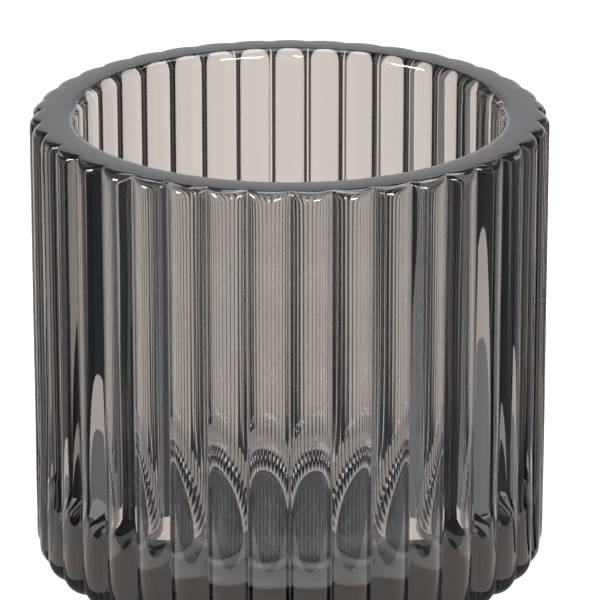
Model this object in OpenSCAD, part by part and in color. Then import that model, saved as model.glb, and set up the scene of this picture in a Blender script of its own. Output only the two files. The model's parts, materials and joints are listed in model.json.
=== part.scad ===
// Ribbed pressed-glass tealight holder: one thick moulded piece with a plain round well.
// Millimetres, +Z up, origin at the centre of the underside.

/* [Body] */
// Diameter over the rib crests
outer_d = 80; // [78:0.5:95]
// Height from the underside to the top of the rim
height = 72.5; // [60:0.5:95]
// Number of ribs round the wall
rib_count = 39; // [37:1:42]
// Radius of one rib's round section
rib_r = 3.8; // [3.6:0.1:4.6]

/* [Well] */
// Diameter of the round well
well_d = 65.5; // [58:0.5:66]
// Thickness of the floor under the well
floor_t = 5.2; // [4:0.2:10]
// Rounding where the well wall meets its floor
floor_round = 10; // [4:0.5:14]

/* [Edges] */
// Rounding of the foot, where the ribs turn under
foot_round = 5; // [4:0.25:6]
// Rounding of the rim's outer edge
rim_outer_round = 1.7; // [1.2:0.1:2.2]
// Rounding of the rim's inner edge
rim_inner_round = 1.7; // [1:0.1:2.5]

/* [Hidden] */
$fn = 96;
overshoot = 1;
crest_relief = 0.15;
well_r = well_d / 2;
crest_r = outer_d / 2;
backing_r = crest_r - rib_r / 2;
envelope_r = crest_r + crest_relief;
well_depth = height - floor_t;
smoke_glass = [0.42, 0.42, 0.44, 0.55];

// The ribbed outline: round ribs side by side, with a groove between two of them at the front
module ribbed_outline() {
    circle(backing_r);
    for (i = [0 : rib_count - 1])
        rotate(90 + i * 360 / rib_count)
            translate([crest_r - rib_r, 0])
                circle(rib_r);
}

// Right half of the envelope's section. It clears the crests, and only its rounded
// bottom and top edges trim the ribs.
module envelope_half_section() {
    translate([envelope_r - foot_round, foot_round]) circle(foot_round);
    translate([envelope_r - rim_outer_round, height - rim_outer_round])
        circle(rim_outer_round);
    translate([0, foot_round])
        square([envelope_r, height - foot_round - rim_outer_round]);
    square([envelope_r - foot_round, foot_round]);
    translate([0, height - rim_outer_round])
        square([envelope_r - rim_outer_round, rim_outer_round]);
}

module ribbed_body() {
    intersection() {
        linear_extrude(height) ribbed_outline();
        rotate_extrude()
            intersection() {
                square([envelope_r, height]);
                envelope_half_section();
            }
    }
}

// Right half of the well's section: a straight bore, round at its floor and flared at its mouth
module well_half_section() {
    difference() {
        union() {
            square([well_r - floor_round, well_depth + overshoot]);
            translate([well_r - floor_round, floor_round]) circle(floor_round);
            translate([0, floor_round])
                square([well_r, well_depth - floor_round + overshoot]);
            translate([0, well_depth - rim_inner_round])
                square([well_r + rim_inner_round, rim_inner_round + overshoot]);
        }
        translate([well_r + rim_inner_round, well_depth - rim_inner_round])
            circle(rim_inner_round);
    }
}

module well() {
    translate([0, 0, floor_t])
        rotate_extrude()
            well_half_section();
}

module glass_holder() {
    color(smoke_glass)
        difference() {
            ribbed_body();
            well();
        }
}

glass_holder();
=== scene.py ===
"""Looks for the ribbed smoke-glass tealight holder. Metres, +Z up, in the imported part's frame.

One piece of pressed glass: 39 round ribs outside, a flat rim, and a smooth straight well whose floor is
rounded up to the wall. The CAD node keeps the plain shape. The mesh here adds the soft rib ends, the eased
grooves, the slight unevenness of pressed glass and a few seeds, all inside the CAD box.
"""

import json
import math

import bpy
import numpy as np
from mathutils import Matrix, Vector


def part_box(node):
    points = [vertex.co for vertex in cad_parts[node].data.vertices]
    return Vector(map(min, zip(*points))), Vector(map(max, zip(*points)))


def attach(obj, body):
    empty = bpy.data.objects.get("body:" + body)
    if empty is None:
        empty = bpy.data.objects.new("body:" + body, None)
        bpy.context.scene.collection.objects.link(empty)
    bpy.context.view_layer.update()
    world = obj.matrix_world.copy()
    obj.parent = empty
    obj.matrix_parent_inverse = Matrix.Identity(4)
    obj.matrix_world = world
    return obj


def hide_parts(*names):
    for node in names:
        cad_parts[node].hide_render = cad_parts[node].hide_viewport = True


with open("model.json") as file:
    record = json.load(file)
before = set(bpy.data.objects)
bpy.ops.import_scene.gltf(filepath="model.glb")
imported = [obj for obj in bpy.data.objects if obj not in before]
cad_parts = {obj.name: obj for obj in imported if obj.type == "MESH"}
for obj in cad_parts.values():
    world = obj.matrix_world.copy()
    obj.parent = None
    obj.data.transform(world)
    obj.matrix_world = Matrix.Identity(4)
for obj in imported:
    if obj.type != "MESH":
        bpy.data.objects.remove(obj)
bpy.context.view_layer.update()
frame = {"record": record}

MM = 0.001

# The glass, in metres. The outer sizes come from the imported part's box, and the well from its mounts.
LOW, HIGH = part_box("glass_holder")
WELL_MOUNT = next(m for m in frame["record"]["mounts"] if m["name"] == "candle_well")
FLOOR_MOUNT = next(m for m in frame["record"]["mounts"] if m["name"] == "well_floor")
HEIGHT = HIGH.z - LOW.z
ROOM_FOR_WAVES = 0.05 * MM
CREST_R = HIGH.y - ROOM_FOR_WAVES
WELL_R = WELL_MOUNT["dims"]["r_mm"] * MM
WELL_FLOOR_Z = FLOOR_MOUNT["pos_m"][2]

RIBS = 39
PITCH = 2 * math.pi / RIBS
FIRST_CREST = math.pi / 2
RIB_R = 3.8 * MM
RIB_CENTRE_R = CREST_R - RIB_R
GROOVE_EASE = 0.35 * MM
WAVE_DEPTH = 0.04 * MM

RIM_ROUND_CREST = 1.7 * MM
RIM_ROUND_GROOVE = 0.75 * MM
RIM_INNER_ROUND = 1.7 * MM
WELL_FLOOR_ROUND = 10.0 * MM
CORE_FOOT_ROUND = 5.2 * MM
FOOT_EASE = 0.3 * MM
BASE_RING_R = 33.4 * MM

COLUMNS_PER_RIB = 22
UNDERSIDE_ROWS = 3
FOOT_ROWS = 12
WALL_ROWS = 32
RIM_ROWS = 7
WELL_ROWS = 18
FLOOR_ROUND_ROWS = 16
FLOOR_SHARES = (0.75, 0.5, 0.25)
SEED_ROWS = 7
SEED_COLUMNS = 12

# Seeds, the small bubbles caught in the glass: heading from +Y clockwise in degrees, then distance from
# the axis, height and radius in millimetres. Each is drawn out upwards.
SEED_STRETCH = 1.4
SEEDS = (
    (151, 35.6, 46.5, 0.20),
    (143, 36.2, 48.0, 0.14),
    (188, 35.4, 31.0, 0.16),
    (207, 36.0, 57.5, 0.12),
    (222, 35.2, 22.5, 0.18),
    (337, 35.8, 55.0, 0.15),
    (352, 35.3, 39.0, 0.12),
    (15, 35.9, 60.0, 0.16),
    (64, 35.5, 28.0, 0.18),
    (98, 36.1, 51.0, 0.13),
    (291, 35.6, 44.0, 0.17),
    (262, 35.2, 63.0, 0.12),
)

GLASS_IOR = 1.5
ABSORB_COLOUR = (0.12, 0.11, 0.1, 1)
ABSORB_DENSITY = 75
TINTED = (0.985, 0.98, 0.985, 1)
UNTINTED = (1, 1, 1, 1)
ROUGHEST = 0.03
RIPPLE_DEPTH = 0.012 * MM

# Noise over the glass: its scale per metre and its detail. It is drawn out along the axis.
NOISE_STRETCH = (1, 1, 0.35)
TINT_NOISE = (40, 2)
POLISH_NOISE = (300, 3)
RIPPLE_NOISE = (160, 1)

# The stage, in metres. The floor and the rings of backdrop are plain and pale. The cards lie just above the
# floor, and only the glass sees them.
FLOOR_HALF = 4.0
FLOOR_Z = -0.0002
FLOOR_GLOW = (0.9, 0.9, 0.9)
FLOOR_MATT = 0.3
BACKDROP_R = 2.6
BACKDROP_SIDES = 96
BACKDROP_SPLIT_Z = 0.5
BACKDROP_TOP_Z = 2.4
BACKDROP_LOW_GLOW = (1.0, 0.99, 0.98)
BACKDROP_HIGH_GLOW = (0.28, 0.275, 0.29)
CARD_Z = -0.0001
CARD_STEPS = 24
CARD_INNER_R = 0.046
CARD_OUTER_R = 2.58
# Outer radius of the painted light patch on the floor in front of the foot.
PAINTED_LIGHT_NEAR_R = 0.07
# Radius and place of the painted shadow disc under the glass, set a little towards the back.
SHADE_R = 0.0235
UPPER_CARD = (0, 0, 0.00005)
SHADE_PLACE = (0, 0.0035, 0.00005)
WARM = np.array((1.0, 0.91, 0.85))
COOL = np.array((0.95, 0.97, 1.0))

# Cards all round the glass: name, first and last heading clockwise from +Y in degrees, and glow
CARDS = (
    ("card_back", -36, 26, 1.08 * WARM),
    ("card_right_edge", 26, 34, 0.3 * WARM),
    ("card_right_dark", 34, 50, (0.015, 0.017, 0.02)),
    ("card_right_bar", 50, 54, 1.3 * WARM),
    ("card_right_gap", 54, 65, (0.03, 0.03, 0.035)),
    ("card_right_white", 65, 69, 1.4 * WARM),
    ("card_right_pale", 69, 95, 0.6 * COOL),
    ("card_right_black", 95, 106, (0.02, 0.02, 0.025)),
    ("card_front_right", 106, 140, 0.45 * COOL),
    ("card_front", 140, 225, 0.32 * COOL),
    ("card_front_left", 225, 258, 0.15 * COOL),
    ("card_left_pale", 258, 275, 0.9 * COOL),
    ("card_left_dark", 275, 285, 0.5 * COOL),
    ("card_left_white", 285, 289, 1.5 * WARM),
    ("card_left_gap", 289, 304, (0.03, 0.03, 0.04)),
    ("card_left_bar", 304, 308, 1.3 * WARM),
    ("card_left_shade", 308, 316, (0.03, 0.03, 0.04)),
    ("card_left_grey", 316, 324, 1.2 * WARM),
)

GLASS_MIDDLE = (0, 0, 0.05)
KEY_DISTANCE = 1.6
WORLD_COLOUR = (0.16, 0.17, 0.19, 1)

CAMERA_SENSOR_MM = 36
CAMERA_LENS_MM = 287.7
CAMERA_PLACE = (0, -0.7027, 0.2949)
CAMERA_DIP = 19.809
CAMERA_TURN = -0.1314
BOUNCES = 32
GLOSSY_BOUNCES = 16


def smooth_max(a, b, width):
    """The larger of a and b, eased over width where they cross."""
    near = np.maximum(width - np.abs(a - b), 0) / width
    return np.maximum(a, b) + near * near * width / 4


def rib_arc(offset):
    """Distance from the axis to one rib's round face, at an angle from its crest."""
    across = RIB_CENTRE_R * np.sin(offset)
    return RIB_CENTRE_R * np.cos(offset) + np.sqrt(np.maximum(RIB_R**2 - across**2, 0))


def columns():
    """Angle of each column, and its angle from the nearest crest. They crowd together at the grooves."""
    step = np.arange(COLUMNS_PER_RIB) / COLUMNS_PER_RIB * 2 - 1
    offset = PITCH / 2 * np.sin(step * math.pi / 2)
    crest = FIRST_CREST + PITCH * np.arange(RIBS)
    angle = (crest[:, None] + offset[None, :]).ravel()
    return angle, np.tile(offset, RIBS)


def quarter(rows, start, end):
    """Angles from start to end in degrees, both ends included, as radians."""
    return np.radians(np.linspace(start, end, rows))


def waviness(angle, z):
    """Slow unevenness of the pressed surface, from -1 to 1. Its numbers only set the pattern."""
    up = z / HEIGHT
    slow = np.sin(3 * angle + 1.3 + 2.1 * up) * np.sin(4.2 * up + 0.7)
    mid = np.sin(7 * angle + 0.4 - 5.3 * up) * np.sin(9.1 * up + 2.2)
    return 0.6 * slow + 0.4 * mid


def outside_rows(angle, offset):
    """Rings of the outer surface, from the middle of the underside to the top of the rim."""
    wall_r = smooth_max(rib_arc(offset), rib_arc(PITCH - np.abs(offset)), GROOVE_EASE)
    ball_centre = RIB_CENTRE_R * np.cos(offset)
    ball_r = wall_r - ball_centre
    core_r = wall_r.min()
    core_centre = core_r - CORE_FOOT_ROUND
    one = np.ones_like(angle)
    rows = []
    for share in np.linspace(0, 1, UNDERSIDE_ROWS + 1)[1:]:
        rows.append((BASE_RING_R * share * one, 0 * one))
    for turn in quarter(FOOT_ROWS, 90, 0):
        r = ball_centre + ball_r * math.cos(turn)
        z = RIB_R - ball_r * math.sin(turn)
        reach = np.clip((r - core_centre) / CORE_FOOT_ROUND, 0, 1)
        core_z = CORE_FOOT_ROUND * (1 - np.sqrt(1 - reach**2))
        z = -smooth_max(-z, -core_z, FOOT_EASE)
        rows.append((r, np.maximum(z, 0)))
    depth = (wall_r - core_r) / (CREST_R - core_r)
    corner = RIM_ROUND_GROOVE + (RIM_ROUND_CREST - RIM_ROUND_GROOVE) * np.clip(depth, 0, 1)
    wall_top = HEIGHT - corner
    for share in np.linspace(0, 1, WALL_ROWS + 1)[1:-1]:
        z = RIB_R + (wall_top - RIB_R) * share
        fade = np.sin(share * math.pi) ** 0.5
        rows.append((wall_r + WAVE_DEPTH * fade * waviness(angle, z), z))
    for turn in quarter(RIM_ROWS, 0, 90):
        rows.append((wall_r - corner * (1 - math.cos(turn)), wall_top + corner * math.sin(turn)))
    return rows


def inside_rows(angle):
    """Rings of the rim's flat, its inner edge, and the well's wall and floor, towards the middle."""
    one = np.ones_like(angle)
    rows = []
    edge = WELL_R + RIM_INNER_ROUND
    rows.append((0.5 * (edge + CREST_R - RIM_ROUND_CREST) * one, HEIGHT * one))
    for turn in quarter(RIM_ROWS, 90, 0):
        drop = RIM_INNER_ROUND * (1 - math.sin(turn))
        rows.append(((edge - RIM_INNER_ROUND * math.cos(turn)) * one, (HEIGHT - drop) * one))
    top = HEIGHT - RIM_INNER_ROUND
    bottom = WELL_FLOOR_Z + WELL_FLOOR_ROUND
    for share in np.linspace(0, 1, WELL_ROWS + 1)[1:-1]:
        z = (top + (bottom - top) * share) * one
        fade = math.sin(share * math.pi) ** 0.5
        rows.append((WELL_R + WAVE_DEPTH * fade * waviness(2.0 - angle, z), z))
    for turn in quarter(FLOOR_ROUND_ROWS, 0, 90):
        r = WELL_R - WELL_FLOOR_ROUND * (1 - math.cos(turn))
        rows.append((r * one, (bottom - WELL_FLOOR_ROUND * math.sin(turn)) * one))
    for share in FLOOR_SHARES:
        rows.append(((WELL_R - WELL_FLOOR_ROUND) * share * one, WELL_FLOOR_Z * one))
    return rows


def revolved(angle, rows, bottom, top):
    """Points and faces of a closed skin through rings of points, with a fan at each end."""
    count = len(angle)
    rings = [np.stack([r * np.cos(angle), r * np.sin(angle), z], 1) for r, z in rows]
    points = np.concatenate([*rings, [[0, 0, bottom], [0, 0, top]]])
    here = np.arange(count)
    after = (here + 1) % count
    bands = []
    for i in range(len(rows) - 1):
        low, high = i * count, (i + 1) * count
        bands.append(np.stack([low + here, low + after, high + after, high + here], 1))
    faces = np.concatenate(bands).tolist()
    last = (len(rows) - 1) * count
    bottom_pole, top_pole = len(rows) * count, len(rows) * count + 1
    faces += np.stack([after, here, np.full(count, bottom_pole)], 1).tolist()
    faces += np.stack([last + here, last + after, np.full(count, top_pole)], 1).tolist()
    return points, faces


def seed(heading, distance, height, radius):
    """Points and faces of one bubble. It faces inwards, because the glass is outside it."""
    angle = np.linspace(0, 2 * math.pi, SEED_COLUMNS, endpoint=False)
    one = np.ones_like(angle)
    half_height = SEED_STRETCH * radius
    rows = []
    for turn in np.radians(np.linspace(-90, 90, SEED_ROWS + 2)[1:-1]):
        rows.append((radius * math.cos(turn) * one, half_height * math.sin(turn) * one))
    points, faces = revolved(angle, rows, -half_height, half_height)
    turn = math.radians(heading)
    centre = np.array([distance * math.sin(turn), distance * math.cos(turn), height])
    return points + centre, [face[::-1] for face in faces]


def glass_mesh(name):
    """The whole skin of the glass: the body and its seeds in one mesh."""
    angle, offset = columns()
    rows = outside_rows(angle, offset) + inside_rows(angle)
    parts = [revolved(angle, rows, 0, WELL_FLOOR_Z)]
    for heading, distance, height, radius in SEEDS:
        parts.append(seed(heading, distance * MM, height * MM, radius * MM))
    points, faces = [], []
    for part_points, part_faces in parts:
        start = len(points)
        points += part_points.tolist()
        faces += [[start + corner for corner in face] for face in part_faces]
    mesh = bpy.data.meshes.new(name)
    mesh.from_pydata(points, [], faces)
    mesh.polygons.foreach_set("use_smooth", [True] * len(mesh.polygons))
    mesh.update()
    return mesh


def smoke_glass():
    """Clear smoke-grey glass, darker the more of it the light goes through, with a pressed surface."""
    material = bpy.data.materials.new("smoke_glass")
    material.use_nodes = True
    nodes, links = material.node_tree.nodes, material.node_tree.links
    shader = nodes["Principled BSDF"]
    shader.inputs["IOR"].default_value = GLASS_IOR
    shader.inputs["Transmission Weight"].default_value = 1
    absorb = nodes.new("ShaderNodeVolumeAbsorption")
    absorb.inputs["Color"].default_value = ABSORB_COLOUR
    absorb.inputs["Density"].default_value = ABSORB_DENSITY
    links.new(absorb.outputs["Volume"], nodes["Material Output"].inputs["Volume"])

    place = nodes.new("ShaderNodeTexCoord").outputs["Object"]
    stretch = nodes.new("ShaderNodeMapping")
    stretch.inputs["Scale"].default_value = NOISE_STRETCH
    links.new(place, stretch.inputs["Vector"])

    def noise(scale, detail):
        texture = nodes.new("ShaderNodeTexNoise")
        texture.inputs["Scale"].default_value = scale
        texture.inputs["Detail"].default_value = detail
        links.new(stretch.outputs["Vector"], texture.inputs["Vector"])
        return texture.outputs["Fac"]

    def ramp(source, low, high, at_low, at_high):
        remap = nodes.new("ShaderNodeMapRange")
        for socket, value in zip(("From Min", "From Max", "To Min", "To Max"), (low, high, at_low, at_high)):
            remap.inputs[socket].default_value = value
        links.new(source, remap.inputs["Value"])
        return remap.outputs["Result"]

    tint = nodes.new("ShaderNodeMix")
    tint.data_type = "RGBA"
    tint.inputs["A"].default_value = TINTED
    tint.inputs["B"].default_value = UNTINTED
    links.new(ramp(noise(*TINT_NOISE), 0.4, 0.6, 0, 1), tint.inputs["Factor"])
    links.new(tint.outputs["Result"], shader.inputs["Base Color"])

    links.new(ramp(noise(*POLISH_NOISE), 0.35, 0.75, 0.0, ROUGHEST), shader.inputs["Roughness"])

    ripple = nodes.new("ShaderNodeBump")
    ripple.inputs["Strength"].default_value = 1
    ripple.inputs["Distance"].default_value = RIPPLE_DEPTH
    links.new(noise(*RIPPLE_NOISE), ripple.inputs["Height"])
    links.new(ripple.outputs["Normal"], shader.inputs["Normal"])
    return material


def card_material(name, glow, matt=0.0):
    """A plain studio surface: a steady glow, and matt paint that the lamps light."""
    material = bpy.data.materials.new(name)
    material.use_nodes = True
    shader = material.node_tree.nodes["Principled BSDF"]
    shader.inputs["Base Color"].default_value = (matt, matt, matt, 1)
    shader.inputs["Roughness"].default_value = 1.0
    shader.inputs["Specular IOR Level"].default_value = 0.0
    shader.inputs["Emission Color"].default_value = (*glow, 1)
    shader.inputs["Emission Strength"].default_value = 1.0
    return material


def stage_mesh(name, points, faces, material):
    """One surface of the stage."""
    mesh = bpy.data.meshes.new(name)
    mesh.from_pydata(points, [], faces)
    mesh.materials.append(material)
    card = bpy.data.objects.new(name, mesh)
    bpy.context.scene.collection.objects.link(card)
    return card


def add_floor():
    """The pale floor that the glass stands on."""
    corners = ((-1, -1), (1, -1), (1, 1), (-1, 1))
    points = [(FLOOR_HALF * x, FLOOR_HALF * y, FLOOR_Z) for x, y in corners]
    stage_mesh("floor", points, [(0, 1, 2, 3)], card_material("floor_white", FLOOR_GLOW, FLOOR_MATT))


def add_backdrop(name, low, high, glow):
    """A plain wall all round the floor, well behind every view's camera."""
    turns = [2 * math.pi * i / BACKDROP_SIDES for i in range(BACKDROP_SIDES)]
    points = [(BACKDROP_R * math.sin(t), BACKDROP_R * math.cos(t), z) for z in (low, high) for t in turns]
    faces = []
    for i in range(BACKDROP_SIDES):
        after = (i + 1) % BACKDROP_SIDES
        faces.append((i, after, BACKDROP_SIDES + after, BACKDROP_SIDES + i))
    stage_mesh(name, points, faces, card_material(name, glow))


def add_card(name, start, end, glow, inner=CARD_INNER_R, outer=CARD_OUTER_R, place=(0, 0, 0)):
    """A flat card on the floor that only the glass sees, from one heading round to another, between radii."""
    turns = [math.radians(start + (end - start) * i / CARD_STEPS) for i in range(CARD_STEPS + 1)]
    points = [(r * math.sin(t), r * math.cos(t), CARD_Z) for r in (inner, outer) for t in turns]
    faces = [(i, i + 1, CARD_STEPS + 2 + i, CARD_STEPS + 1 + i) for i in range(CARD_STEPS)]
    card = stage_mesh(name, points, faces, card_material(name, glow))
    card.location = place
    card.visible_camera = False
    card.visible_diffuse = False
    card.visible_shadow = False


def add_cards():
    """The cards round the glass, and the painted light and shade on the table under its foot and close to it:
    a pale pool behind, a dim half in front, a dark shadow disc in the middle and a bright patch in front of
    the foot.
    """
    for name, start, end, glow in CARDS:
        add_card(name, start, end, glow)
    # Painted light: a pale pool on the table under the back half of the glass, where light through the glass
    # falls.
    add_card("painted_light_under_back", -100, 100, 1.0 * WARM, 0.0, CARD_INNER_R)
    # Painted shade: the table under the front half of the glass kept dim.
    add_card("painted_shade_under_front", 100, 260, (0.28, 0.28, 0.28), 0.0, CARD_INNER_R)
    # Painted light: a bright patch on the floor just in front of the foot, seen only by the glass.
    add_card("painted_light_near_foot", 100, 260, 1.7 * WARM, CARD_INNER_R, PAINTED_LIGHT_NEAR_R, UPPER_CARD)
    # Painted shadow: a dark disc standing in for the shade on the table under the glass.
    add_card("shade_below", 0, 360, (0.05, 0.05, 0.056), 0.0, SHADE_R, SHADE_PLACE)


def heading_place(heading, elevation, distance):
    """The point at a distance from the glass, by heading clockwise from +Y and elevation, in degrees."""
    turn, rise = math.radians(heading), math.radians(elevation)
    across = distance * math.cos(rise)
    return (across * math.sin(turn), across * math.cos(turn), GLASS_MIDDLE[2] + distance * math.sin(rise))


def add_area(name, place, size, radiance, colour=(1, 1, 1)):
    """A soft panel aimed at the glass, given by how bright it looks."""
    light = bpy.data.lights.new(name, "AREA")
    light.shape = "RECTANGLE"
    light.size, light.size_y = size
    light.energy = radiance * math.pi * size[0] * size[1]
    light.color = colour
    lamp = bpy.data.objects.new(name, light)
    lamp.location = place
    aim = Vector(GLASS_MIDDLE) - Vector(place)
    lamp.rotation_euler = aim.to_track_quat("-Z", "Y").to_euler()
    bpy.context.scene.collection.objects.link(lamp)


def add_lamps():
    """A soft box above, a broad panel behind, and three small keys that spark on the ribs and the rim."""
    add_area("softbox_top", (0.1, 0.25, 0.85), (0.6, 0.6), 4.0, (0.93, 0.96, 1.0))
    add_area("panel_back", (0, 1.5, 0.62), (1.5, 0.7), 0.68, (0.97, 0.95, 1.0))
    add_area("key_right", heading_place(153, 24, KEY_DISTANCE), (0.62, 0.4), 26.0)
    add_area("key_left", heading_place(250, 24, KEY_DISTANCE), (0.6, 0.4), 24.0)
    add_area("key_middle", heading_place(185, 26, KEY_DISTANCE), (0.14, 0.4), 22.0)


def add_world():
    """A dim even surround beyond the backdrop."""
    world = bpy.data.worlds.new("studio")
    world.use_nodes = True
    background = world.node_tree.nodes["Background"]
    background.inputs["Color"].default_value = WORLD_COLOUR
    background.inputs["Strength"].default_value = 1.0
    bpy.context.scene.world = world


def add_camera():
    """A long lens in front of the glass, looking down at it."""
    camera_data = bpy.data.cameras.new("camera")
    camera_data.sensor_width = CAMERA_SENSOR_MM
    camera_data.lens = CAMERA_LENS_MM
    camera = bpy.data.objects.new("camera", camera_data)
    camera.location = CAMERA_PLACE
    camera.rotation_euler = (math.radians(90 - CAMERA_DIP), 0, math.radians(CAMERA_TURN))
    bpy.context.scene.collection.objects.link(camera)
    bpy.context.scene.camera = camera


mesh = glass_mesh("holder_glass")
mesh.materials.append(smoke_glass())
holder = bpy.data.objects.new("holder_glass", mesh)
bpy.context.scene.collection.objects.link(holder)
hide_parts("glass_holder")
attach(holder, "root")

add_floor()
add_backdrop("backdrop_low", FLOOR_Z, BACKDROP_SPLIT_Z, BACKDROP_LOW_GLOW)
add_backdrop("backdrop_high", BACKDROP_SPLIT_Z, BACKDROP_TOP_Z, BACKDROP_HIGH_GLOW)
add_cards()
add_lamps()
add_world()
add_camera()
bpy.context.scene.view_settings.view_transform = "Standard"
bpy.context.scene.cycles.max_bounces = BOUNCES
bpy.context.scene.cycles.transmission_bounces = BOUNCES
bpy.context.scene.cycles.glossy_bounces = GLOSSY_BOUNCES
